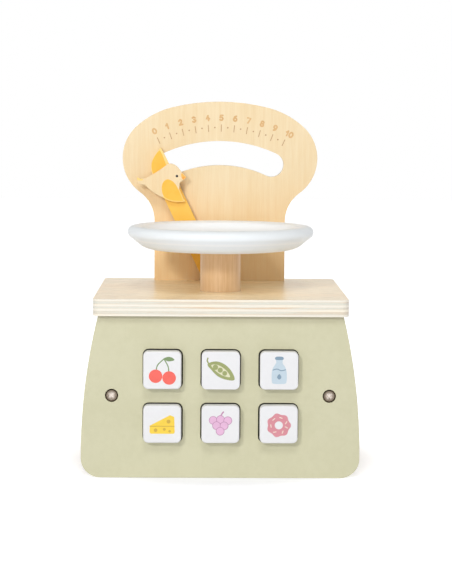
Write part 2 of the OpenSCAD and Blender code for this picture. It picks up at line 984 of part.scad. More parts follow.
module spring_board_screws() {
    shank = spring_board_y + spring_board_t - front_inner_y + spacer_screw_bite;
    color(steel)
        at_spacers()
            translate([0, spring_board_y + spring_board_t + spacer_head_t, 0])
                rotate([-90, 0, 0])
                    cross_screw(spacer_head_d, spacer_head_t, spacer_screw_d, shank);
}

front_panel();
back_panel();
left_side_board();
right_side_board();
bottom_board();
top_plate();
dial_board();
dial_dowels();
dial_screws();
plate_dowels();
panel_dowels();
front_screws();
back_screws();
bottom_screws();
tray();
tray_dowel();
post();
carriage_plate();
drive_block();
drive_block_screws();
drive_pin();
return_spring();
spring_guide_rod();
steady_rod();
pointer_arm();
bird();
pivot_pin();
pivot_washers();
button(0, 0);  // button_top_left
button(1, 0);  // button_top_middle
button(2, 0);  // button_top_right
button(0, 1);  // button_bottom_left
button(1, 1);  // button_bottom_middle
button(2, 1);  // button_bottom_right
button_spring(0, 0);  // spring_top_left
button_spring(1, 0);  // spring_top_middle
button_spring(2, 0);  // spring_top_right
button_spring(0, 1);  // spring_bottom_left
button_spring(1, 1);  // spring_bottom_middle
button_spring(2, 1);  // spring_bottom_right
spring_board();
spring_board_spacers();
spring_board_screws();
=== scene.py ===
import json
import math

import bmesh
import bpy
from mathutils import Matrix, Vector


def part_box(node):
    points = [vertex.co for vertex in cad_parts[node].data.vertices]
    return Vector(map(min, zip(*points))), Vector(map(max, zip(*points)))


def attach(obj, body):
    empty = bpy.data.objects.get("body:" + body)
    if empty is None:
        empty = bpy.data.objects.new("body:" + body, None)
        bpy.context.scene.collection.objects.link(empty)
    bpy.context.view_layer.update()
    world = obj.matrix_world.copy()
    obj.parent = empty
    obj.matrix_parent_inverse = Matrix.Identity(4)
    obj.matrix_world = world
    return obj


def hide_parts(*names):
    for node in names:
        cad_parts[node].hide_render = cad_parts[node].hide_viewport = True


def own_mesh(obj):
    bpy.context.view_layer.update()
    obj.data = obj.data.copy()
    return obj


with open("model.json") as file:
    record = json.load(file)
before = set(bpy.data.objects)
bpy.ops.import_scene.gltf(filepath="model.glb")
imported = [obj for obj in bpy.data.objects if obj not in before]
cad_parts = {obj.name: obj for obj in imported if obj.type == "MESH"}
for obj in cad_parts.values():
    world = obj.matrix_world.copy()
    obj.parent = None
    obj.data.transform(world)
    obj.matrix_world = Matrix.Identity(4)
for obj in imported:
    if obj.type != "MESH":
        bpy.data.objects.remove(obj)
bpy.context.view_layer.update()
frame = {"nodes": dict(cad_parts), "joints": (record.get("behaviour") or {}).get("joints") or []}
NODES = frame["nodes"]
JOINTS = {joint["name"]: joint for joint in frame["joints"]}
SCENE = bpy.context.scene
MM = 0.001
BASE, TRAY_BODY, POINTER = "base", "tray_and_post", "pointer"
PLACES = [row + "_" + column for row in ("top", "bottom") for column in ("left", "middle", "right")]


def rgb(r, g, b):
    """A colour written as sRGB numbers from 0 to 255, as the linear colour that shaders take."""

    def linear(v):
        v /= 255
        return v / 12.92 if v <= 0.04045 else ((v + 0.055) / 1.055) ** 2.4

    return (linear(r), linear(g), linear(b), 1.0)


# Node trees


class Nodes:
    """A node tree under construction. Each method but node adds nodes and returns an output socket."""

    def __init__(self, tree):
        self.tree = tree
        tree.nodes.clear()

    def node(self, kind, inputs=None, **settings):
        """A new node. Each input is a value or the socket that it is linked to."""
        made = self.tree.nodes.new(kind)
        for key, value in settings.items():
            setattr(made, key, value)
        for key, value in (inputs or {}).items():
            if isinstance(value, bpy.types.NodeSocket):
                self.tree.links.new(value, made.inputs[key])
            else:
                made.inputs[key].default_value = value
        return made

    def math(self, operation, a, b=0.0, c=0.0):
        return self.node("ShaderNodeMath", {0: a, 1: b, 2: c}, operation=operation).outputs[0]

    def vector(self, operation, a, b=(0.0, 0.0, 0.0), c=(0.0, 0.0, 0.0)):
        return self.node("ShaderNodeVectorMath", {0: a, 1: b, 2: c}, operation=operation).outputs[0]

    def length(self, value):
        return self.node("ShaderNodeVectorMath", {0: value}, operation="LENGTH").outputs["Value"]

    def remap(self, value, low, high, to_low=0.0, to_high=1.0, curve="LINEAR"):
        """Value from low to high, turned into to_low to to_high."""
        inputs = {"Value": value, "From Min": low, "From Max": high, "To Min": to_low, "To Max": to_high}
        return self.node("ShaderNodeMapRange", inputs, interpolation_type=curve).outputs["Result"]

    def step(self, value, low, high, to_low=0.0, to_high=1.0):
        """As remap, but easing in and out."""
        return self.remap(value, low, high, to_low, to_high, "SMOOTHSTEP")

    def mix(self, amount, a, b):
        """Colour a where amount is 0 and colour b where it is 1."""
        return self.node("ShaderNodeMix", {0: amount, 6: a, 7: b}, data_type="RGBA").outputs[2]

    def ramp(self, value, stops):
        """Value from 0 to 1, turned into the levels given at its stops."""
        made = self.node("ShaderNodeValToRGB", {0: value})
        elements = made.color_ramp.elements
        while len(elements) > 1:
            elements.remove(elements[-1])
        for i, (place, amount) in enumerate(stops):
            stop = elements[0] if i == 0 else elements.new(place)
            stop.position = place
            stop.color = (amount, amount, amount, 1)
        return made.outputs[0]


class Shader(Nodes):
    """A material under construction. place is the point in the row frame, and axes are its X, Y and Z."""

    def __init__(self, name):
        self.material = bpy.data.materials.new(name)
        self.material.use_nodes = True
        super().__init__(self.material.node_tree)
        coords = self.node("ShaderNodeTexCoord").outputs
        self.place, self.normal = coords["Object"], coords["Normal"]
        self.axes = self.node("ShaderNodeSeparateXYZ", {0: self.place}).outputs

    def facing(self, axis):
        """How far the surface faces along one axis, from -1 to 1."""
        return self.node("ShaderNodeSeparateXYZ", {0: self.normal}).outputs[axis]

    def noise(self, scale, detail=3.0, roughness=0.6, shift=0.0):
        """Noise with its repeats per metre on X, Y and Z. Each shift shows another part of it."""
        moved = self.vector("MULTIPLY_ADD", self.place, scale, (shift, shift * 1.7, shift * 0.6))
        inputs = {"Vector": moved, "Scale": 1.0, "Detail": detail, "Roughness": roughness}
        return self.node("ShaderNodeTexNoise", inputs).outputs["Fac"]

    def bump(self, height, strength, distance):
        inputs = {"Height": height, "Strength": strength, "Distance": distance}
        return self.node("ShaderNodeBump", inputs).outputs["Normal"]

    def gloss(self, noise, low, high):
        """Roughness from low to high as a noise rises."""
        return self.step(noise, 0.3, 0.7, low, high)

    def finish(self, colour, roughness, normal, metallic=0.0, specular=0.5):
        """The finished material, with the usual surface."""
        inputs = {
            "Base Color": colour,
            "Roughness": roughness,
            "Normal": normal,
            "Metallic": metallic,
            "Specular IOR Level": specular,
        }
        return self.output(self.node("ShaderNodeBsdfPrincipled", inputs))

    def output(self, surface):
        """The finished material, with a surface of its own."""
        self.node("ShaderNodeOutputMaterial", {"Surface": surface.outputs[0]})
        return self.material


# Materials

# Repeats per metre across the grain and along it
FIBRE, STREAK, FIGURE, FLECK = (1500, 70), (420, 14), (34, 10), (1300, 160)
PAINTED_FIBRE = (900, 40)
# Shares of fibre, streak and figure in the tone of the wood
FIBRE_SHARE, STREAK_SHARE, FIGURE_SHARE = 0.35, 0.40, 0.45
# The tone halfway from light to dark, and how far either side of it they are reached
TONE_MIDDLE, TONE_SPREAD = 0.60, 0.22


def repeats(across, along=None, axis=0):
    """Repeats per metre on X, Y and Z: one number along an axis and one across it, or one for all."""
    along = across if along is None else along
    return [along if i == axis else across for i in range(3)]


def veneer(s, light, dark, grain, shift=0.0, contrast=1.0):
    """Pale wood with fine fibres, wider streaks and a slow figure: its colour, and its fibres."""
    fibre = s.noise(repeats(*FIBRE, grain), 3, 0.6, shift)
    streak = s.noise(repeats(*STREAK, grain), 3, 0.6, shift + 3)
    figure = s.noise(repeats(*FIGURE, grain), 3, 0.5, shift + 7)
    tone = s.math("MULTIPLY_ADD", fibre, FIBRE_SHARE, s.math("MULTIPLY", streak, STREAK_SHARE))
    tone = s.math("MULTIPLY_ADD", figure, FIGURE_SHARE, tone)
    spread = TONE_SPREAD / contrast
    return s.mix(s.step(tone, TONE_MIDDLE - spread, TONE_MIDDLE + spread), light, dark), fibre


BIRCH = {
    "light": rgb(240, 221, 185),
    "dark": rgb(233, 208, 163),
    "edge": rgb(240, 233, 218),
    "end": rgb(223, 219, 203),
    "end_dark": rgb(216, 180, 142),
    "glue": rgb(196, 168, 132),
}
PLATE = dict(
    BIRCH,
    light=rgb(255, 238, 202),
    dark=rgb(255, 226, 180),
    edge=rgb(232, 226, 212),
    end=rgb(214, 213, 199),
    # The underside is raw wood, painted darker still as shade, so that it throws less light onto the
    # panel below
    under=rgb(140, 112, 76),
)
# The dial board's wood is painted deeper low down as painted warm shade, standing for the light it takes
# back from the wood about it
DIAL = dict(BIRCH, foot=(rgb(251, 220, 171), rgb(245, 206, 150)))
PAINTED_SHADE_TOP, PAINTED_SHADE_LOW = 222 * MM, 155 * MM

# Thicknesses of a twelve millimetre board's plies from its low face up, read off the plate's edge
PLIES = [1.5, 2.1, 1.8, 1.3, 1.8, 2.0, 1.5]
PLY_JOINTS = [sum(PLIES[: i + 1]) / sum(PLIES) for i in range(len(PLIES) - 1)]
# Half the width of a ply's blurred edge, and how far it wavers, as shares of the board
PLY_BLUR, PLY_WAVER = 0.02, 0.04
# How brown the ends of the other plies are beside those of the middle ply, and how dark the glue is
OUTER_BROWN, GLUE_DEPTH = 0.35, 0.3


def ply_layers(s, axis, low, high, tones, shift):
    """The colour of a board's edge, and its fine specks."""
    level = s.math("DIVIDE", s.math("SUBTRACT", s.axes[axis], low), high - low)
    # The layer edges waver slightly, as rotary-cut veneer does
    waver = s.noise(repeats(25, 0, axis), 2, 0.5, shift + 11)
    level = s.math("ADD", level, s.math("MULTIPLY_ADD", waver, PLY_WAVER, -PLY_WAVER / 2))
    # The outer plies and every second one between run along the edge; the others show their ends
    crossing, glueing = [(0.0, 0)], [(0.0, 0)]
    for i, joint in enumerate(PLY_JOINTS):
        crossing += [(joint - PLY_BLUR, i % 2), (joint + PLY_BLUR, 1 - i % 2)]
        glueing += [(joint - PLY_BLUR, 0), (joint, 1), (joint + PLY_BLUR, 0)]
    # The middle ply is the brownest
    start, stop = PLY_JOINTS[2:4]
    core = [(0.0, OUTER_BROWN), (start, OUTER_BROWN), (start + PLY_BLUR, 1)]
    core += [(stop - PLY_BLUR, 1), (stop, OUTER_BROWN)]
    patch = s.noise(repeats(16, 420, axis), 3, 0.6, shift + 5)
    speck = s.noise(repeats(900, 1500, axis), 2, 0.6, shift + 2)
    brown = s.math("MULTIPLY", s.step(patch, 0.46, 0.64), s.ramp(level, core))
    end = s.mix(brown, tones["end"], tones["end_dark"])
    end = s.mix(s.step(speck, 0.45, 0.8, 0.0, 0.3), end, tones["end_dark"])
    long_ply = s.mix(s.step(patch, 0.40, 0.70, 0.0, 0.4), tones["edge"], tones["light"])
    layers = s.mix(s.ramp(level, crossing), long_ply, end)
    glue = s.math("MULTIPLY", s.ramp(level, glueing), GLUE_DEPTH)
    return s.mix(glue, layers, tones["glue"]), speck


def plywood(node, axis, grain, tones=BIRCH, shift=0.0, rough=0.5, specular=0.4):
    """Lacquered plywood for a node, with plies stacked along one axis and face grain along another."""
    low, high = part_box(node)
    s = Shader(node + "_plywood")
    face, fibre = veneer(s, tones["light"], tones["dark"], grain, shift)
    facing = s.facing(axis)
    # Painted warm shade: the wood is painted deeper low down, standing for the warm light taken back from
    # the wood about it
    if "foot" in tones:
        foot, _ = veneer(s, *tones["foot"], grain, shift)
        face = s.mix(s.step(s.axes[2], PAINTED_SHADE_TOP, PAINTED_SHADE_LOW), face, foot)
    # Painted shade: a darker underside, which throws less light onto what lies below it
    if "under" in tones:
        face = s.mix(s.step(facing, -0.8, -0.93), face, tones["under"])
    layers, speck = ply_layers(s, axis, low[axis], high[axis], tones, shift)
    colour = s.mix(s.step(s.math("ABSOLUTE", facing), 0.80, 0.93), layers, face)
    normal = s.bump(s.math("ADD", fibre, s.math("MULTIPLY", speck, 0.5)), 0.16, 0.2 * MM)
    return s.finish(colour, s.gloss(fibre, rough - 0.05, rough + 0.08), normal, specular=specular)


def beech():
    """Solid beech with fine upright grain and short darker flecks."""
    dark = rgb(217, 176, 128)
    s = Shader("beech")
    colour, fibre = veneer(s, rgb(234, 199, 155), dark, 2, 1.0, 1.3)
    fleck = s.noise(repeats(*FLECK, 2), 2, 0.5, 10.0)
    colour = s.mix(s.step(fleck, 0.62, 0.74, 0.0, 0.45), colour, dark)
    return s.finish(colour, 0.36, s.bump(fibre, 0.2, 0.2 * MM), specular=0.6)


def paint(name, light, dark, grain=2, rough=0.45, shift=0.0, relief=0.05, extra=None):
    """Satin paint over wood that drifts between two colours. The grain shows as a faint relief."""
    s = Shader(name)
    slow = s.noise(repeats(28), 3, 0.5, shift)
    fine = s.noise(repeats(260), 3, 0.6, shift + 4)
    fibre = s.noise(repeats(*PAINTED_FIBRE, grain), 3, 0.6, shift + 8)
    tone = s.math("MULTIPLY_ADD", slow, 0.6, s.math("MULTIPLY", fine, 0.4))
    colour = s.mix(s.step(tone, 0.38, 0.64), light, dark)
    if extra:
        colour = extra(s, colour)
    normal = s.bump(s.math("ADD", fibre, s.math("MULTIPLY", fine, 0.6)), relief, 0.25 * MM)
    return s.finish(colour, s.gloss(fine, rough - 0.04, rough + 0.06), normal, specular=0.45)


def metal(name, light, dark, rough):
    """Bare metal, slightly uneven in tone and gloss."""
    s = Shader(name)
    fine = s.noise(repeats(700))
    colour = s.mix(s.step(fine, 0.35, 0.7), light, dark)
    normal = s.bump(fine, 0.08, 0.1 * MM)
    return s.finish(colour, s.gloss(fine, rough - 0.06, rough + 0.08), normal, metallic=1.0)


# Meshes and objects

# CAD points closer than this become one, and so do faces that bend less than this
WELD, FLAT_DEGREES = 0.002 * MM, 0.6
# Edges sharper than this are sanded round
SHARP_DEGREES = 36
# Stands up what is drawn flat, so that its Y becomes Z
UPRIGHT = Matrix.Rotation(math.radians(90), 4, "X")
# How deep the back of a print or mark lies in what carries it
ROOT = 0.05 * MM


def new_object(name, data):
    made = bpy.data.objects.new(name, data)
    SCENE.collection.objects.link(made)
    return made


def new_mesh(name, bm):
    """A mesh from a bmesh, which is freed."""
    mesh = bpy.data.meshes.new(name)
    bm.to_mesh(mesh)
    bm.free()
    return mesh


def add(name, mesh, material, body):
    """A new piece from a mesh in the row frame."""
    piece = new_object(name, mesh)
    mesh.materials.clear()
    mesh.materials.append(material)
    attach(piece, body)
    return piece


def dress(nodes, material):
    """Gives CAD nodes that are shown as they are a material."""
    for node in nodes:
        slots = NODES[node].data.materials
        slots.clear()
        slots.append(material)


def rounded_copy(node, body, material, radius, segments=3):
    """The CAD node's shape with its sharp edges sanded round, standing for that node."""
    bm = bmesh.new()
    bm.from_mesh(NODES[node].data)
    bmesh.ops.remove_doubles(bm, verts=bm.verts, dist=WELD)
    bmesh.ops.dissolve_limit(bm, angle_limit=math.radians(FLAT_DEGREES), verts=bm.verts, edges=bm.edges)
    for face in bm.faces:
        face.smooth = True
    mesh = new_mesh(node + "_mesh", bm)
    # The CAD's own normals no longer fit the new faces
    if "custom_normal" in mesh.attributes:
        mesh.attributes.remove(mesh.attributes["custom_normal"])
    piece = add(node + "_sanded", mesh, material, body)
    bevel = piece.modifiers.new("sanded_edges", "BEVEL")
    bevel.width = radius
    bevel.segments = segments
    bevel.limit_method = "ANGLE"
    bevel.angle_limit = math.radians(SHARP_DEGREES)
    bevel.use_clamp_overlap = True
    bevel.miter_outer = "MITER_ARC"
    weighted = piece.modifiers.new("flat_faces", "WEIGHTED_NORMAL")
    weighted.keep_sharp = False
    weighted.weight = 80
    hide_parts(node)


def outline_mesh(name, loops, front_y, depth):
    """A thin upright solid from closed loops of (x, z) points. A loop inside another is a hole."""
    curve = bpy.data.curves.new(name, "CURVE")
    curve.dimensions = "2D"
    curve.fill_mode = "BOTH"
    curve.extrude = depth / 2
    for loop in loops:
        spline = curve.splines.new("POLY")
        spline.points.add(len(loop) - 1)
        for point, (x, z) in zip(spline.points, loop):
            point.co = (x, z, 0, 1)
        spline.use_cyclic_u = True
    holder = new_object("holder", curve)
    bpy.context.view_layer.update()
    shown = holder.evaluated_get(bpy.context.evaluated_depsgraph_get())
    mesh = bpy.data.meshes.new_from_object(shown)
    bpy.data.objects.remove(holder)
    mesh.transform(Matrix.Translation((0, front_y + depth / 2, 0)) @ UPRIGHT)
    bm = bmesh.new()
    bm.from_mesh(mesh)
    bmesh.ops.remove_doubles(bm, verts=bm.verts, dist=WELD / 2)
    bmesh.ops.recalc_face_normals(bm, faces=bm.faces)
    bm.to_mesh(mesh)
    bm.free()
    return mesh


def joined(name, meshes):
    """One mesh from several."""
    bm = bmesh.new()
    for mesh in meshes:
        bm.from_mesh(mesh)
    return new_mesh(name, bm)


def tube(name, rings, capped=False):
    """A mesh through rings of points, with its ends closed if capped. A ring of one point is a tip."""
    bm = bmesh.new()
    verts = [[bm.verts.new(spot) for spot in ring] for ring in rings]
    sides = max(len(ring) for ring in rings)
    for near, far in zip(verts, verts[1:]):
        for i in range(sides):
            j = (i + 1) % sides
            corners = (near[i % len(near)], near[j % len(near)], far[j % len(far)], far[i % len(far)])
            unique = list(dict.fromkeys(corners))
            if len(unique) > 2:
                bm.faces.new(unique)
    if capped:
        bm.faces.new(verts[0])
        bm.faces.new(verts[-1])
    bmesh.ops.recalc_face_normals(bm, faces=bm.faces)
    for face in bm.faces:
        face.smooth = len(face.verts) <= 4
    return new_mesh(name, bm)


def lathe(name, profile, centre, sides):
    """A turned mesh from radii and heights in millimetres."""
    rings = []
    for r, z in profile:
        turns = [2 * math.pi * i / sides for i in range(sides if r else 1)]
        spots = [(r * MM * math.cos(a), r * MM * math.sin(a)) for a in turns]
        rings.append([(centre.x + x, centre.y + y, centre.z + z * MM) for x, y in spots])
    return tube(name, rings)


# Flat outlines


def arc(x, z, r, start, end, steps):
    """Points on an arc, with angles in degrees from +X towards +Z."""
    angles = [math.radians(start + (end - start) * i / steps) for i in range(steps + 1)]
    return [(x + r * math.cos(a), z + r * math.sin(a)) for a in angles]


def disc(x, z, r, sides=32):
    return arc(x, z, r, 0, 360 - 360 / sides, sides - 1)


def oval(x, z, a, b, sides=28):
    turns = [2 * math.pi * i / sides for i in range(sides)]
    return [(x + a * math.cos(t), z + b * math.sin(t)) for t in turns]


def bend(start, pull, end, steps):
    """A quadratic curve from start to end, drawn towards pull."""
    out = []
    for t in [i / steps for i in range(steps + 1)]:
        near, middle, far = (1 - t) ** 2, 2 * t * (1 - t), t * t
        out.append(tuple(near * a + middle * b + far * c for a, b, c in zip(start, pull, end)))
    return out


def between(a, b, c, d, t):
    """A Catmull-Rom curve through four values, from b where t is 0 to c where it is 1."""
    square, cube = 2 * a - 5 * b + 4 * c - d, 3 * b - a - 3 * c + d
    return 0.5 * (2 * b + (c - a) * t + square * t * t + cube * t**3)


def smooth(points, closed=True, steps=6):
    """A curve through points."""
    count = len(points)
    out = []
    for i in range(count if closed else count - 1):
        picks = range(i - 1, i + 3)
        near = [points[k % count if closed else min(max(k, 0), count - 1)] for k in picks]
        for j in range(steps):
            out.append(tuple(between(*values, j / steps) for values in zip(*near)))
    return out if closed else out + [points[-1]]


def round_end(tip, a, b, start, width):
    """Points half a turn clockwise round a tip, from start degrees off the heading from a to b."""
    heading = math.degrees(math.atan2(b[1] - a[1], b[0] - a[0]))
    return arc(*tip, width / 2, heading + start, heading + start - 180, 8)[1:-1]


def stroke(points, width):
    """A closed outline round an open line, with round ends."""
    one_side, other_side = [], []
    for i, (x, z) in enumerate(points):
        a, b = points[max(i - 1, 0)], points[min(i + 1, len(points) - 1)]
        dx, dz = b[0] - a[0], b[1] - a[1]
        size = math.hypot(dx, dz)
        nx, nz = -dz / size * width / 2, dx / size * width / 2
        one_side.append((x + nx, z + nz))
        other_side.append((x - nx, z - nz))
    last = round_end(points[-1], *points[-2:], 90, width)
    first = round_end(points[0], *points[:2], -90, width)
    return one_side + last + other_side[::-1] + first


# Camera

# Fitted to the edges of the panel, plate, dial and tray in the photograph
FOCAL_PX, FRAME_H = 1800.0, 584
EYE = Vector((-13.15, -1350.29, 261.90)) * MM
DIP, TURN, ROLL = 0.10009, 0.01305, 0.00625


def add_camera():
    forward = Vector((math.sin(TURN) * math.cos(DIP), math.cos(TURN) * math.cos(DIP), -math.sin(DIP)))
    level = Vector((math.cos(TURN), -math.sin(TURN), 0))
    above = level.cross(forward)
    right = math.cos(ROLL) * level + math.sin(ROLL) * above
    up = math.cos(ROLL) * above - math.sin(ROLL) * level
    data = bpy.data.cameras.new("camera")
    data.sensor_width = 36
    data.lens = FOCAL_PX / FRAME_H * data.sensor_width
    data.clip_start, data.clip_end = 0.05, 50
    camera = new_object("camera", data)
    camera.matrix_world = Matrix.Translation(EYE) @ Matrix((right, up, -forward)).transposed().to_4x4()
    SCENE.camera = camera


add_camera()
SCENE.view_settings.view_transform = "Standard"

# Lamps, room and floor

# What the lamps aim at
MIDDLE = Vector((0, 0, 0.14))
ROOM_WHITE = (1, 1, 1, 1)
# The light from the side walls, from the walls in front and behind, and the ceiling's share of it
SIDE_LIGHT, FRONT_LIGHT, BACK_LIGHT, CEILING_SHARE = 0.70, 0.20, 0.90, 0.4
# What the right wall gives more and the left one less
RIGHT_MORE = 0.22


def lamp(name, spot, size, watts):
    """A round soft lamp aimed at the toy, its place and size in metres."""
    data = bpy.data.lights.new(name, "AREA")
    data.shape = "DISK"
    data.size = size
    data.energy = watts
    made = new_object(name, data)
    made.location = spot
    made.rotation_mode = "QUATERNION"
    made.rotation_quaternion = (MIDDLE - Vector(spot)).to_track_quat("-Z", "Y")


lamp("key", (-0.84, -2.0, 1.0), 0.32, 16.4)
lamp("steep", (0.0, -1.65, 1.9), 0.8, 16.0)
lamp("fill", (-0.4, -2.3, 0.36), 1.5, 6.0)


def add_room():
    """A white room. Seen straight or in a reflection it is pure white, and the light it gives varies."""
    world = bpy.data.worlds.new("studio")
    SCENE.world = world
    world.use_nodes = True
    s = Nodes(world.node_tree)
    rays = s.node("ShaderNodeLightPath").outputs
    seen = s.math("MAXIMUM", rays["Is Glossy Ray"], rays["Is Transmission Ray"])
    seen = s.math("MAXIMUM", rays["Is Camera Ray"], seen)
    aim = s.node("ShaderNodeTexCoord").outputs["Generated"]
    x, y, z = s.node("ShaderNodeSeparateXYZ", {0: aim}).outputs
    # Both side walls are bright, the right one most
    sides = s.math("MULTIPLY_ADD", x, x, s.math("MULTIPLY", x, RIGHT_MORE))
    # The wall behind the toy lights its back, and the one in front of it is dim
    ends = s.remap(y, 0.25, 0.85, FRONT_LIGHT, BACK_LIGHT)
    walls = s.math("MULTIPLY_ADD", sides, SIDE_LIGHT, ends)
    # The ceiling gives less than the walls
    room = s.math("MULTIPLY", walls, s.remap(z, 0.50, 0.85, 1.0, CEILING_SHARE))
    strength = s.remap(seen, 0.0, 1.0, room, 1.0)
    light = s.node("ShaderNodeBackground", {"Color": ROOM_WHITE, "Strength": strength})
    s.node("ShaderNodeOutputWorld", {"Surface": light.outputs[0]})


add_room()

FLOOR_SIZE, FLOOR_Z = 4.0, -0.2 * MM
FLOOR_GREY = (0.74, 0.745, 0.785, 1)
# The paper's own glow: near the toy, where its shadow shows, further out, and towards the toy
NEAR_GLOW, FAR_GLOW, BOUNCE = 0.34, 0.85, 0.28
# Distances from the middle between which the one glow turns into the other
SHADOW_IN, SHADOW_OUT = 90 * MM, 150 * MM


def floor_paper():
    """Paper that shows the toy's soft shadow, and is pure white further out."""
    s = Shader("floor_paper")
    diffuse = s.node("ShaderNodeBsdfDiffuse", {"Color": FLOOR_GREY})
    rays = s.node("ShaderNodeLightPath").outputs
    shown = s.math("MAXIMUM", rays["Is Camera Ray"], rays["Is Glossy Ray"])
    strength = s.step(s.length(s.place), SHADOW_IN, SHADOW_OUT, NEAR_GLOW, FAR_GLOW)
    strength = s.math("MULTIPLY", shown, strength)
    strength = s.math("MULTIPLY_ADD", rays["Is Diffuse Ray"], BOUNCE, strength)
    glow = s.node("ShaderNodeEmission", {"Color": ROOM_WHITE, "Strength": strength})
    return s.output(s.node("ShaderNodeAddShader", {0: diffuse.outputs[0], 1: glow.outputs[0]}))


def add_floor():
    bm = bmesh.new()
    bmesh.ops.create_grid(bm, x_segments=1, y_segments=1, size=FLOOR_SIZE)
    mesh = new_mesh("floor", bm)
    mesh.materials.append(floor_paper())
    floor = new_object("floor", mesh)
    floor.location.z = FLOOR_Z


add_floor()

# Paints, wood and metal of the toy

PANEL_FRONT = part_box("front_panel")[0].y
# Window walls: raw wood painted dark as shade. Buttons' skirts: painted near black as shade. Screw
# recesses: brown raw wood
RAW_SHADED_WALL, RAW_RECESS, PAINTED_SKIRT_SHADE = rgb(46, 34, 22), rgb(96, 74, 44), rgb(14, 12, 10)
# The raw wood and its painted shade reach this far outside the outer buttons, fading from the second
# distance on
BARE_OUT, BARE_OUT_BELOW = (1.6 * MM, 1.1 * MM), (1.1 * MM, 0.6 * MM)
# Depths behind the panel's front where the bare wood of a recess, and a button's painted skirt shade,
# come in
RECESS_DEPTHS, SKIRT_DEPTHS = (0.3 * MM, 0.8 * MM), (-1.4 * MM, 0.2 * MM)
# Distances from a screw's middle between which the bare wood of its recess starts
RECESS_RADII = (5.0 * MM, 4.9 * MM)
# Distances from a screw's middle where its head's painted highlight fades into painted shade at its rim,
# and how uneven they are
SCREW_PAINTED_HIGHLIGHT, SCREW_PAINTED_SHADE, SCREW_UNEVEN = 1.2 * MM, 4.4 * MM, 1.6 * MM


def beyond(start, distances):
    """Two places at two distances from a start."""
    return [start + distance for distance in distances]


def from_screw(s):
    """Distance across the panel's face from the middle of the nearer screw."""
    low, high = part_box("front_screws")
    head = (high.z - low.z) / 2
    across = s.math("SUBTRACT", s.math("ABSOLUTE", s.axes[0]), high.x - head)
    upward = s.math("SUBTRACT", s.axes[2], (high.z + low.z) / 2)
    square = s.math("MULTIPLY_ADD", across, across, s.math("MULTIPLY", upward, upward))
    return s.math("SQRT", square)


def bare_windows(s, colour):
    """Raw wood, painted dark as shade, on the walls of the button windows, and brown raw wood in the
    screw recesses.
    """
    low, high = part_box("button_bottom_left")[0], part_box("button_top_right")[1]
    # The panel's own edges, further out than the windows, stay painted
    across = s.step(s.math("ABSOLUTE", s.axes[0]), *beyond(high.x, BARE_OUT))
    above = s.step(s.axes[2], *beyond(low.z, [-out for out in BARE_OUT_BELOW]))
    below = s.step(s.axes[2], *beyond(high.z, BARE_OUT))
    wall = s.step(s.math("ABSOLUTE", s.facing(1)), 0.75, 0.45)
    inside = s.math("MULTIPLY", s.math("MULTIPLY", across, wall), s.math("MULTIPLY", above, below))
    # Painted shade: the window walls are painted dark brown, for the shade in the gaps round the buttons
    colour = s.mix(inside, colour, RAW_SHADED_WALL)
    sunk = s.step(s.axes[1], *beyond(PANEL_FRONT, RECESS_DEPTHS))
    recess = s.math("MULTIPLY", s.step(from_screw(s), *RECESS_RADII), sunk)
    return s.mix(recess, colour, RAW_RECESS)


def shaded_skirt(s, colour):
    """The part of a button that stays inside its window, painted near black as the shade in the gap about
    it.
    """
    # Painted shade on the skirt, fading in just in front of the panel
    return s.mix(s.step(s.axes[1], *beyond(PANEL_FRONT, SKIRT_DEPTHS)), colour, PAINTED_SKIRT_SHADE)


# Heights above the tray's underside between which its rim takes its painted shade and its well its
# painted light, and the radii between which the well's painted light comes in
RIM_HEIGHTS, WELL_HEIGHTS, WELL_RADII = (8 * MM, 12 * MM), (6 * MM, 7 * MM), (67.5 * MM, 61 * MM)
RIM_PAINTED_SHADE, WELL_PAINTED_LIGHT = rgb(236, 240, 241), rgb(253, 254, 254)


def bright_well(s, colour):
    """The tray's rim painted a duller white as shade against its highlight, and its well painted brighter
    as light.
    """
    low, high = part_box("tray")
    # Painted shade: the rim is painted a duller white, which tones down its highlight
    rim = s.step(s.axes[2], *beyond(low.z, RIM_HEIGHTS))
    colour = s.mix(rim, colour, RIM_PAINTED_SHADE)
    off = s.vector("SUBTRACT", s.place, (low + high) / 2)
    radius = s.length(s.vector("MULTIPLY", off, (1, 1, 0)))
    above = s.step(s.axes[2], *beyond(low.z, WELL_HEIGHTS))
    # Painted light: the well is painted brighter
    return s.mix(s.math("MULTIPLY", s.step(radius, *WELL_RADII), above), colour, WELL_PAINTED_LIGHT)


def screw_zinc():
    """Zinc-plated heads, with a painted highlight in the middle and painted shade at the rim."""
    s = Shader("screw_zinc")
    fine = s.noise(repeats(900))
    rim = s.math("MULTIPLY_ADD", fine, SCREW_UNEVEN, from_screw(s))
    # Painted highlight in the middle of each domed head, and painted shade at its rim
    colour = s.mix(s.step(rim, SCREW_PAINTED_HIGHLIGHT, SCREW_PAINTED_SHADE), rgb(206, 196, 186), rgb(110, 98, 84))
    return s.finish(colour, s.gloss(fine, 0.24, 0.42), s.bump(fine, 0.6, 0.4 * MM), metallic=1.0)


SAGE_TONES = rgb(204, 201, 170), rgb(200, 197, 165)
SAGE = paint("sage_paint", *SAGE_TONES, rough=0.5, relief=0.12)
SAGE_FRONT = paint("sage_front_paint", *SAGE_TONES, rough=0.5, relief=0.12, extra=bare_windows)
CAP_WHITE = paint(
    "button_paint", rgb(229, 229, 230), rgb(226, 226, 227), 0, 0.42, 5.0, relief=0.06, extra=shaded_skirt
)
WHITE = paint("white_paint", rgb(238, 245, 250), rgb(236, 243, 248), 0, 0.46, 2.0, extra=bright_well)
BEECH = beech()
STEEL = metal("zinc_steel", rgb(150, 142, 134), rgb(112, 104, 98), 0.34)
SCREW = screw_zinc()
WIRE = metal("spring_wire", rgb(196, 196, 200), rgb(160, 160, 166), 0.3)

# Boards, post and the CAD nodes that are shown as they are

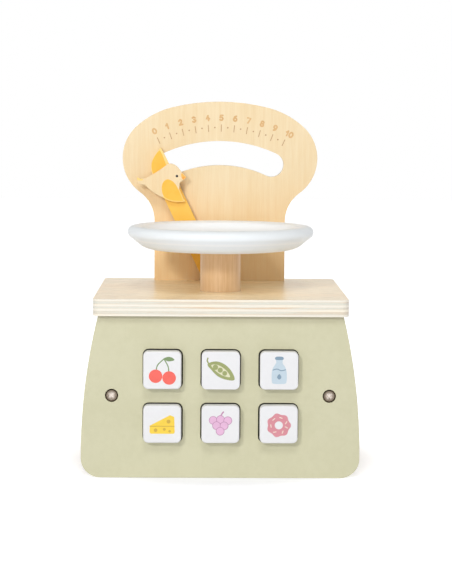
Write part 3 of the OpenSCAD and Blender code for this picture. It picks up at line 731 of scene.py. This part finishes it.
for node, sage in (("front_panel", SAGE_FRONT), ("back_panel", SAGE)):
    rounded_copy(node, BASE, sage, 1.0 * MM)
for node in ("left_side_board", "right_side_board"):
    rounded_copy(node, BASE, plywood(node, 0, 2, shift=2.0), 0.4 * MM)
rounded_copy("bottom_board", BASE, plywood("bottom_board", 2, 0, shift=4.0), 0.4 * MM)
rounded_copy("top_plate", BASE, plywood("top_plate", 2, 0, PLATE, 6.0, 0.30, 0.85), 0.9 * MM)
rounded_copy("dial_board", BASE, plywood("dial_board", 1, 2, DIAL, 8.0), 1.2 * MM)
rounded_copy("post", TRAY_BODY, BEECH, 0.5 * MM)

dress(["carriage_plate"], plywood("carriage_plate", 2, 0, shift=10.0))
dress(["spring_board"], plywood("spring_board", 1, 0, shift=10.0))
dress(["dial_dowels", "plate_dowels", "panel_dowels", "tray_dowel", "drive_block"], BEECH)
dress(["spring_guide_rod", "steady_rod", "spring_board_spacers"], BEECH)
dress(["front_screws", "back_screws"], SCREW)
dress(["bottom_screws", "dial_screws", "drive_block_screws", "spring_board_screws"], STEEL)
dress(["pivot_pin", "pivot_washers", "drive_pin"], STEEL)

# Springs

RETURN_WIRE, RETURN_TURNS, RETURN_LENGTH, RETURN_FOOT = 1.6 * MM, 8, 51 * MM, 9 * MM
BUTTON_WIRE, BUTTON_TURNS, BUTTON_LENGTH = 0.8 * MM, 6, 21 * MM
# The coils' ends stop just short of the parts that they push on
SPRING_GAP = 0.05 * MM
# Points to a turn, sides of the wire, and the closed turns at each end
COIL_STEPS, WIRE_SIDES, CLOSED_TURNS = 32, 10, 0.8
# Share of the rise that eases in and out of the closed turns
COIL_EASE = 0.12


def coil(node, axis, wire, turns):
    """A round-wire spring with closed ends in a node's box."""
    low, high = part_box(node)
    middle = (low + high) / 2
    climb = high[axis] - low[axis] - wire - 2 * SPRING_GAP
    radius = (high.x - low.x - wire) / 2
    steps = turns * COIL_STEPS
    rings = []
    for i in range(steps + 1):
        turn = turns * i / steps
        # The end turns lie flat, and the ones between share the rise
        share = min(max((turn - CLOSED_TURNS) / (turns - 2 * CLOSED_TURNS), 0.0), 1.0)
        share = share * share * (3 - 2 * share) * COIL_EASE + share * (1 - COIL_EASE)
        a = 2 * math.pi * turn
        ring = []
        for k in range(WIRE_SIDES):
            b = 2 * math.pi * k / WIRE_SIDES
            out = radius + wire / 2 * math.cos(b)
            x, y = out * math.cos(a), out * math.sin(a)
            rise = SPRING_GAP + wire / 2 + climb * share + wire / 2 * math.sin(b)
            if axis == 2:
                ring.append((middle.x + x, middle.y + y, low.z + rise))
            else:
                ring.append((middle.x + x, low.y + rise, middle.z - y))
        rings.append(ring)
    piece = add(node + "_coil", tube(node + "_coil", rings, capped=True), WIRE, BASE)
    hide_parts(node)
    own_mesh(piece)


coil("return_spring", 2, RETURN_WIRE, RETURN_TURNS)
for place in PLACES:
    node = "spring_" + place
    coil(node, 1, BUTTON_WIRE, BUTTON_TURNS)

# Tray

# The tray's radius, height, rim and well's height, in millimetres
TRAY_R, TRAY_H, RIM_R, WELL_Z = 69.0, 17.3, 4.5, 8.8
TRAY_SIDES = 192


def tray_profile():
    """Radii and heights in millimetres, from the middle of the tray's underside round to its well."""
    under = [(0.0, 0.0), (24.0, 0.0)] + bend((48.5, 0.0), (55.7, 0.0), (60.2, 3.6), 12)
    rim = arc(TRAY_R - RIM_R, TRAY_H - RIM_R, RIM_R, -38, 90, 24)
    lip = bend((61.8, TRAY_H), (57.1, 16.58), (56.2, 15.14), 8)
    well = bend((54.4, 13.25), (49.9, WELL_Z), (38.2, WELL_Z), 18)
    return under + rim + lip + well + [(20.0, WELL_Z), (0.0, WELL_Z)]


tray_low, tray_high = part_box("tray")
tray_foot = Vector(((tray_low.x + tray_high.x) / 2, (tray_low.y + tray_high.y) / 2, tray_low.z))
tray_mesh = lathe("tray_turned", tray_profile(), tray_foot, TRAY_SIDES)
tray = add("tray_turned", tray_mesh, WHITE, TRAY_BODY)
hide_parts("tray")

# Pointer arm and bird

PIVOT_Z = JOINTS["pointer_swing"]["pos_m"][2]
# How far the resting arm leans left
LEAN = math.radians(25.8)
ARM_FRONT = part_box("pointer_arm")[0].y
BIRD_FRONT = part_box("bird")[0].y
# Distances along the arm: where its yellow is painted deeper as shade towards the pivot, where its bare
# wing starts, and the top of the bird's stained wing
ARM_PAINTED_SHADE, WING_START, LOBE_TOP = (60 * MM, 45 * MM), (96.5 * MM, 97.5 * MM), (87.0 * MM, 85.5 * MM)


def on_arm(points):
    """Points across and along the resting arm, in millimetres from the pivot, as (x, z) in metres."""
    c, s = math.cos(LEAN), math.sin(LEAN)
    return [((u * c - v * s) * MM, PIVOT_Z + (u * s + v * c) * MM) for u, v in points]


def along_arm(s):
    """Distance from the pivot along the resting arm."""
    height = s.math("MULTIPLY", s.math("SUBTRACT", s.axes[2], PIVOT_Z), math.cos(LEAN))
    return s.math("MULTIPLY_ADD", s.axes[0], -math.sin(LEAN), height)


def arm_material():
    """Yellow paint, painted deeper low down as shade, thinner and paler on the raised wing at the arm's
    end.
    """
    s = Shader("yellow_arm")
    along = along_arm(s)
    fine = s.noise(repeats(260))
    slow = s.noise(repeats(30), 2, 0.5, 3)
    yellow = s.mix(s.step(slow, 0.35, 0.65), rgb(253, 202, 90), rgb(250, 195, 78))
    # Painted shade: the yellow deepens towards the pivot, where the arm lies under the tray
    yellow = s.mix(s.step(along, *ARM_PAINTED_SHADE), yellow, rgb(246, 182, 54))
    wood, fibre = veneer(s, rgb(255, 220, 146), rgb(252, 210, 126), 2, 5)
    colour = s.mix(s.step(along, *WING_START), yellow, wood)
    normal = s.bump(s.math("ADD", fine, fibre), 0.08, 0.2 * MM)
    return s.finish(colour, s.gloss(fine, 0.40, 0.50), normal, specular=0.4)


def bird_material():
    """Pale wood, with the folded wing's lobe stained pale yellow and the cut edges darker."""
    s = Shader("bird_wood")
    wood, fibre = veneer(s, rgb(242, 221, 182), rgb(236, 208, 161), 2, 12)
    colour = s.mix(s.step(along_arm(s), *LOBE_TOP), wood, rgb(255, 210, 120))
    side = s.step(s.math("ABSOLUTE", s.facing(1)), 0.85, 0.4, 0.0, 0.5)
    colour = s.mix(side, colour, rgb(240, 196, 128))
    return s.finish(colour, 0.5, s.bump(fibre, 0.1, 0.2 * MM), specular=0.4)


rounded_copy("pointer_arm", POINTER, arm_material(), 0.25 * MM)
rounded_copy("bird", POINTER, bird_material(), 0.3 * MM)

YELLOW = paint("yellow_print", rgb(253, 195, 74), rgb(250, 188, 64), shift=7.0)
AMBER = paint("amber_print", rgb(254, 192, 92), rgb(252, 182, 78), shift=8.0)
ORANGE = paint("orange_print", rgb(243, 158, 68), rgb(238, 148, 58), shift=9.0)
TINT = paint("pale_yellow_print", rgb(253, 216, 134), rgb(251, 208, 120), shift=11.0)
BLACK = paint("black_print", rgb(48, 44, 42), rgb(40, 37, 36), rough=0.35, shift=13.0)
# How proud the paint stands
PRINT = 0.1 * MM

# Painted shapes across and along the arm, in millimetres from the pivot
WING_FOOT = [
    (5.7, 119.6), (5.9, 115.6), (5.5, 111.2), (5.2, 107.9),
    (5.2, 104.0), (-6.5, 103.6), (-6.9, 106.8),
]
WING_BACK = [
    (-6.3, 109.2), (-5.4, 111.7), (-3.8, 114.1), (-2.2, 115.7),
    (-0.2, 117.2), (2.1, 118.5), (4.3, 119.5),
]
FOLDED_WING = [
    (1.5, 96.9), (-0.9, 97.0), (-3.1, 96.0), (-4.9, 94.0), (-6.2, 91.4), (-6.9, 88.6), (-6.8, 86.2),
    (-5.9, 84.2), (-4.4, 82.4), (-2.4, 80.7), (0.1, 79.1), (2.4, 77.9), (4.3, 77.1), (5.2, 77.2),
    (5.4, 80.4), (5.6, 85.2), (5.6, 89.0), (5.0, 92.0), (3.7, 94.9),
]
BEAK = [
    (12.9, 96.2), (13.7, 96.2), (14.2, 94.9), (14.7, 93.4), (15.1, 92.2),
    (14.0, 91.75), (12.4, 91.35), (11.9, 92.4), (12.0, 93.8), (12.4, 95.2),
]
BEAK_LOW = [(12.2, 93.3), (13.4, 93.5), (14.1, 92.7), (13.2, 92.1), (12.3, 92.2)]
TAIL_TIP = [
    (-19.2, 108.2), (-17.5, 106.5), (-15.6, 105.0),
    (-16.8, 104.6), (-18.6, 105.4), (-20.0, 106.8),
]
EYE_SPOT = (9.1, 96.05)
EYE_PROFILE = [(0, 0.28), (0.45, 0.25), (0.8, 0.16), (1.0, 0.0), (0.9, -0.1), (0, -0.1)]


def print_on(name, loop, front, material, proud=PRINT):
    """A painted shape on the arm's or the bird's front."""
    mesh = outline_mesh(name, [on_arm(loop)], front - proud, proud + ROOT)
    add(name, mesh, material, POINTER)


print_on("raised_wing_paint", WING_FOOT + smooth(WING_BACK, False), ARM_FRONT, YELLOW)
print_on("folded_wing_paint", smooth(FOLDED_WING), BIRD_FRONT, YELLOW)
print_on("beak_paint", smooth(BEAK, True, 4), BIRD_FRONT, AMBER)
print_on("beak_shade", smooth(BEAK_LOW, True, 4), BIRD_FRONT, ORANGE, 1.4 * PRINT)
print_on("tail_paint", smooth(TAIL_TIP, True, 4), BIRD_FRONT, TINT)

eye_x, eye_z = on_arm([EYE_SPOT])[0]
eye_mesh = lathe("eye", EYE_PROFILE, Vector((0, 0, 0)), 32)
eye_mesh.transform(Matrix.Translation((eye_x, BIRD_FRONT, eye_z)) @ UPRIGHT)
add("bird_eye", eye_mesh, BLACK, POINTER)

# Dial marks

BURNT = paint("burnt_number", rgb(222, 182, 128), rgb(214, 170, 114), rough=0.6, shift=15.0)
SCORCHED = paint("burnt_tick", rgb(199, 161, 120), rgb(188, 148, 108), rough=0.6, shift=16.0)
DIAL_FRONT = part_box("dial_board")[0].y
# How proud the marks stand, and how much more for each layer
MARK, MARK_LAYER = 0.08 * MM, 0.03 * MM
# The scale in millimetres and degrees, its centre and its middle tick's turn fitted to the photograph
SCALE_X, SCALE_Z, SCALE_TURN = -0.5, 130.9, 0.65
TICK_COUNT, TICK_STEP = 11, 4.9
TICK_R, DOT_R, NUMBER_R = 117.9, 118.3, 125.9
TICK_LONG, TICK_WIDE, DOT_SIZE = 5.0, 0.62, 0.62
DIGIT_W, DIGIT_H, DIGIT_STROKE = 2.6, 3.8, 1.3
# The two digits of the last number stand this far apart, about a point this far right of its tick
DIGIT_STEP, PAIR_SHIFT = 3.2, 1.1

# Each digit as its open strokes and its ovals, in a cell one wide and one high
DIGITS = {
    "0": ([], [(0, 0, 0.5, 0.5)]),
    "1": ([[(0.1, -0.5), (0.1, 0.5)], [(0.1, 0.5), (-0.34, 0.16)]], []),
    "2": (
        [
            smooth([(-0.44, 0.28), (-0.1, 0.5), (0.34, 0.36), (0.2, -0.02), (-0.44, -0.5)], False),
            [(-0.44, -0.5), (0.46, -0.5)],
        ],
        [],
    ),
    "3": (
        [
            smooth([(-0.42, 0.4), (0, 0.5), (0.36, 0.28), (-0.02, 0.03)], False),
            smooth([(-0.02, 0.03), (0.42, -0.2), (0.05, -0.5), (-0.44, -0.38)], False),
        ],
        [],
    ),
    "4": ([[(0.1, 0.5), (-0.46, -0.16), (0.5, -0.16)], [(0.2, 0.14), (0.2, -0.5)]], []),
    "5": (
        [
            [(0.4, 0.5), (-0.3, 0.5), (-0.36, 0.06)],
            smooth([(-0.36, 0.06), (0.12, 0.12), (0.42, -0.18), (0.1, -0.5), (-0.42, -0.4)], False),
        ],
        [],
    ),
    "6": ([smooth([(0.3, 0.5), (-0.16, 0.34), (-0.42, -0.16)], False)], [(0.02, -0.2, 0.44, 0.31)]),
    "7": ([[(-0.46, 0.5), (0.46, 0.5), (-0.14, -0.5)]], []),
    "8": ([], [(0, 0.26, 0.36, 0.25), (0, -0.24, 0.45, 0.27)]),
    "9": ([smooth([(-0.3, -0.5), (0.16, -0.34), (0.42, 0.16)], False)], [(-0.02, 0.2, 0.44, 0.31)]),
}


def on_dial(loops, radius, degrees, layer=0):
    """Loops in millimetres, stood on the dial at a radius and a clockwise turn of the scale."""
    c, s = math.cos(math.radians(degrees)), math.sin(math.radians(degrees))
    x0, z0 = (SCALE_X + radius * s) * MM, (SCALE_Z + radius * c) * MM
    placed = []
    for loop in loops:
        placed.append([(x0 + (x * c + z * s) * MM, z0 + (z * c - x * s) * MM) for x, z in loop])
    # Strokes that cross stand at heights of their own, so that no two faces coincide
    proud = MARK + layer * MARK_LAYER
    return outline_mesh("mark", placed, DIAL_FRONT - proud, proud + MARK / 2)


def digit_marks(digit, shift, turn):
    """The strokes and ovals of one digit, at a shift in millimetres along the scale."""
    lines, ovals = DIGITS[digit]
    half = DIGIT_STROKE / 2
    shapes = []
    for line in lines:
        shapes.append([stroke([(shift + x * DIGIT_W, z * DIGIT_H) for x, z in line], DIGIT_STROKE)])
    for x, z, a, b in ovals:
        x, z, a, b = shift + x * DIGIT_W, z * DIGIT_H, a * DIGIT_W, b * DIGIT_H
        shapes.append([oval(x, z, a + half, b + half), oval(x, z, a - half, b - half)])
    return [on_dial(loops, NUMBER_R, turn, layer) for layer, loops in enumerate(shapes)]


ticks, dots, numbers = [], [], []
for i in range(TICK_COUNT):
    turn = SCALE_TURN + (i - TICK_COUNT // 2) * TICK_STEP
    tick = stroke([(0, -TICK_LONG / 2), (0, TICK_LONG / 2)], TICK_WIDE)
    ticks.append(on_dial([tick], TICK_R, turn))
    if i < TICK_COUNT - 1:
        dots.append(on_dial([disc(0, 0, DOT_SIZE, 16)], DOT_R, turn + TICK_STEP / 2))
    for place, digit in enumerate(str(i)):
        shift = PAIR_SHIFT + (place - 0.5) * DIGIT_STEP if i > 9 else 0.0
        numbers += digit_marks(digit, shift, turn)
add("dial_ticks", joined("dial_ticks", ticks), SCORCHED, BASE)
add("dial_dots", joined("dial_dots", dots), SCORCHED, BASE)
add("dial_numbers", joined("dial_numbers", numbers), BURNT, BASE)

# Buttons and their pictures

for place in PLACES:
    rounded_copy("button_" + place, "button_" + place + "_body", CAP_WHITE, 1.1 * MM, 4)

# How proud a picture's shapes stand, and how much more for each shape, so that none coincide
INK, INK_LAYER = 0.03 * MM, 0.012 * MM
# The ink's light tone as a share of a shape's colour, and its dark tone as a share of the light one
INK_LIGHT, INK_DARK = 0.9, 0.94


def darker(colour, share):
    return tuple(c * share for c in colour[:3]) + (1.0,)


class Picture:
    """A printed picture on one button, drawn in millimetres from the middle of its face."""

    def __init__(self, place):
        low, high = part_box("button_" + place)
        self.x, self.z = (low.x + high.x) / 2, (low.z + high.z) / 2
        self.y = low.y
        self.place = place
        self.layer = 0

    def shape(self, name, loops, colour):
        self.layer += 1
        proud = INK + INK_LAYER * self.layer
        moved = [[(self.x + x * MM, self.z + z * MM) for x, z in loop] for loop in loops]
        mesh = outline_mesh(name, moved, self.y - proud, proud + ROOT)
        light = darker(colour, INK_LIGHT)
        name = self.place + "_" + name
        ink = paint(name, light, darker(light, INK_DARK), shift=self.layer, relief=0.04)
        add(name, mesh, ink, "button_" + self.place + "_body")


RED, LEAF = rgb(250, 108, 96), rgb(128, 152, 104)
cherries = Picture("top_left")
cherries.shape("stems", [stroke(smooth([(-4.4, -1.5), (-3.4, 3.6), (1.2, 8.2)], False), 0.8)], LEAF)
cherries.shape("stem", [stroke(smooth([(4.6, -2.6), (4.2, 2.6), (1.2, 8.2)], False), 0.8)], LEAF)
leaf = smooth([(1.2, 8.4), (3.4, 9.6), (6.4, 9.4), (8.6, 7.6), (6.2, 6.6), (3.2, 6.8)])
cherries.shape("leaf", [leaf], LEAF)
cherries.shape("left_cherry", [disc(-4.7, -4.2, 4.8)], RED)
cherries.shape("right_cherry", [disc(4.9, -5.4, 4.8)], RED)

OLIVE, PALE = rgb(158, 166, 106), rgb(230, 228, 196)
peas = Picture("top_middle")
pod = [
    (-9.4, 4.6), (-6.6, 0.4), (-1.8, -4.2), (4.4, -6.6),
    (9.8, -6.4), (7.6, -0.4), (2.6, 4.6), (-3.6, 6.6),
]
peas.shape("pod", [smooth(pod)], OLIVE)
opening = [(-6.8, 3.6), (-3.2, -0.6), (1.6, -3.6), (6.6, -4.6), (4.6, -0.6), (0.8, 2.6), (-3.4, 4.4)]
peas.shape("pod_inside", [smooth(opening)], PALE)
for i, (x, z, r) in enumerate([(-3.8, 2.4, 1.9), (-0.4, 0.4, 1.8), (2.8, -1.9, 1.7)], 1):
    peas.shape("pea_%d" % i, [disc(x, z, r, 24)], OLIVE)
peas.shape("pod_stem", [stroke(smooth([(-8.6, 5.0), (-9.6, 7.0), (-9.2, 8.8)], False), 1.0)], OLIVE)

SKY, SLATE = rgb(200, 217, 228), rgb(134, 160, 180)
milk = Picture("top_right")
bottle_side = [(2.2, 8.6), (2.3, 5.6), (4.4, 2.2), (5.3, -1.6), (5.2, -7.4), (3.8, -9.2)]
bottle = bottle_side + [(-x, z) for x, z in reversed(bottle_side)]
milk.shape("bottle", [smooth(bottle)], SKY)
milk.shape("cap", [smooth([(-2.6, 8.0), (-2.4, 10.0), (2.4, 10.0), (2.6, 8.0)], True, 4)], SLATE)
milk_top = smooth([(-4.4, 0.6), (-1.6, 1.3), (1.4, 0.2), (4.4, 0.8)], False)
milk.shape("milk_line", [stroke(milk_top, 0.7)], SLATE)
milk.shape("drop", [smooth([(0, -2.2), (1.5, -4.6), (0, -6.2), (-1.5, -4.6)])], SLATE)

YOLK, OCHRE = rgb(254, 217, 74), rgb(214, 176, 70)
cheese = Picture("bottom_left")
wedge = [(-8.8, -1.0), (5.6, 6.6), (8.6, 5.4), (9.0, -5.6), (8.2, -6.8), (-8.0, -6.8), (-9.0, -5.8)]
cheese.shape("wedge", [wedge], YOLK)
cheese.shape("rind_line", [stroke([(-8.6, -1.4), (8.6, -1.4)], 0.6)], OCHRE)
holes = [(-4.6, -4.2, 1.3), (1.6, -3.6, 1.0), (5.4, -5.0, 0.9), (4.6, 2.0, 1.4)]
for i, (x, z, r) in enumerate(holes, 1):
    cheese.shape("hole_%d" % i, [disc(x, z, r, 20)], OCHRE)

LILAC, PLUM = rgb(236, 190, 222), rgb(196, 140, 178)
GRAPE_R, GRAPE_EDGE = 2.65, 0.4
grapes = Picture("bottom_middle")
grapes.shape("stalk", [stroke(smooth([(0.2, 4.6), (0.6, 7.0), (2.0, 9.0)], False), 1.0)], PLUM)
spots = [(-5.2, 3.0), (0.0, 3.6), (5.2, 2.8), (-2.8, -0.8), (2.6, -0.9), (-0.2, -4.8)]
for i, (x, z) in enumerate(spots, 1):
    grapes.shape("grape_%d_edge" % i, [disc(x, z, GRAPE_R + GRAPE_EDGE, 28)], PLUM)
    grapes.shape("grape_%d" % i, [disc(x, z, GRAPE_R, 28)], LILAC)

ROSE, CREAM = rgb(222, 146, 156), rgb(247, 226, 214)
ICING_R, ICING_WAVE, ICING_WAVES, HOLE_R = 8.2, 0.5, 7, 2.9
SPRINKLE_R, SPRINKLE_HALF = 5.6, 0.9
RING_Z = -0.4
# Each sprinkle's place round the ring and its own turn, in degrees
SPRINKLES = [(20, 60), (75, -20), (130, 40), (185, 100), (240, 10), (300, 70), (345, 150)]


def polar(radius, degrees):
    a = math.radians(degrees)
    return radius * math.cos(a), radius * math.sin(a)


ring = Picture("bottom_right")
wavy = []
for i in range(84):
    a = 2 * math.pi * i / 84
    r = ICING_R + ICING_WAVE * math.cos(ICING_WAVES * a)
    wavy.append((r * math.cos(a), r * math.sin(a) + RING_Z))
ring.shape("icing", [wavy, disc(0, RING_Z, HOLE_R)], ROSE)
for i, (around, turn) in enumerate(SPRINKLES, 1):
    x, z = polar(SPRINKLE_R, around)
    dx, dz = polar(SPRINKLE_HALF, turn)
    line = [(x - dx, z + RING_Z - dz), (x + dx, z + RING_Z + dz)]
    ring.shape("sprinkle_%d" % i, [stroke(line, 0.7)], CREAM)
